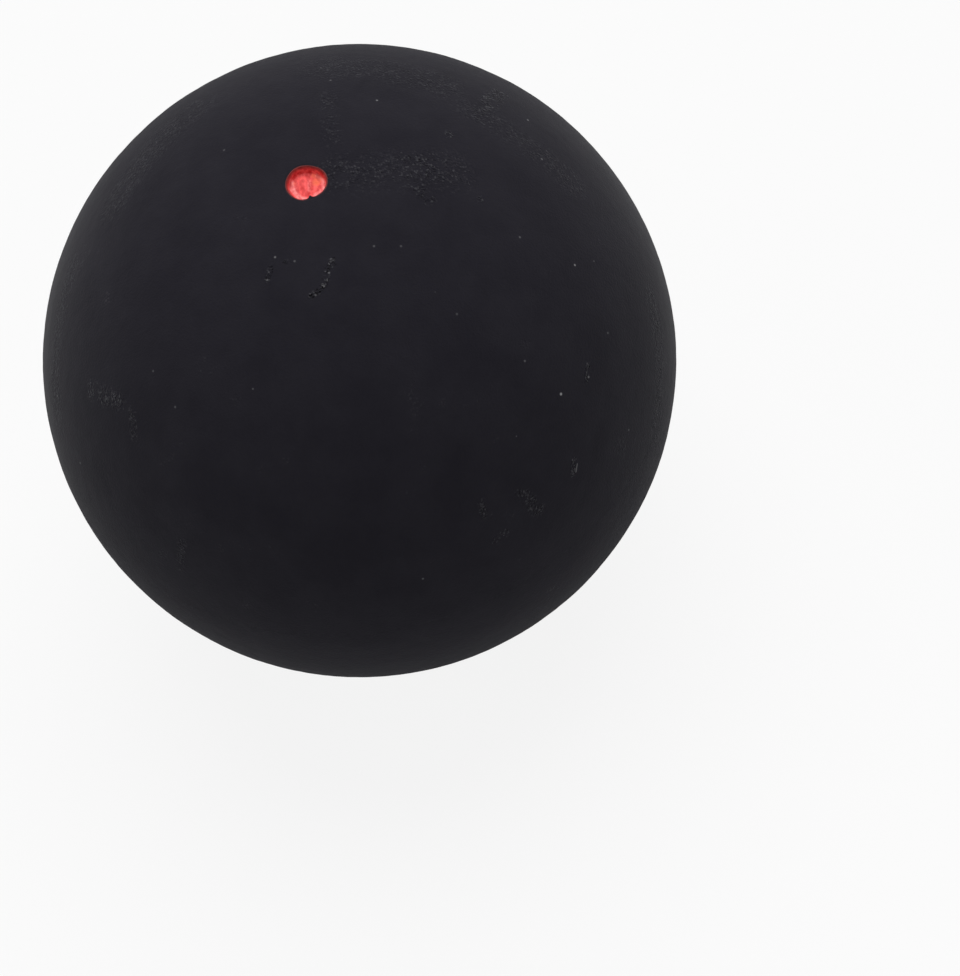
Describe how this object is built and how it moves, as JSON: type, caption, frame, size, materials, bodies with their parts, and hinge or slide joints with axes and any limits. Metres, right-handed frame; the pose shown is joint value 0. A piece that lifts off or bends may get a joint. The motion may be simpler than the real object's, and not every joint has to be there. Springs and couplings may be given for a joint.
{
  "type": "squash ball",
  "caption": "Hollow ball of matt black rubber, made of bonded half shells, with a red paint dot in a small dimple that marks its speed.",
  "frame": {"origin": "centre of the ball", "axes": "+Z out through the middle of the dot, with the seam between the half shells in the plane Z = 0; the ball is round about Z, so X and Y are free"},
  "size_m": [0.04, 0.04, 0.04],
  "materials": {
    "rubber": "matt, buffed",
    "cement": "matt",
    "dot_paint": "satin"
  },
  "bodies": {
    "root": {"upper_half_shell": "rubber", "lower_half_shell": "rubber", "seam_cement_ring": "cement", "red_dot": "dot_paint"}
  },
  "joints": []
}
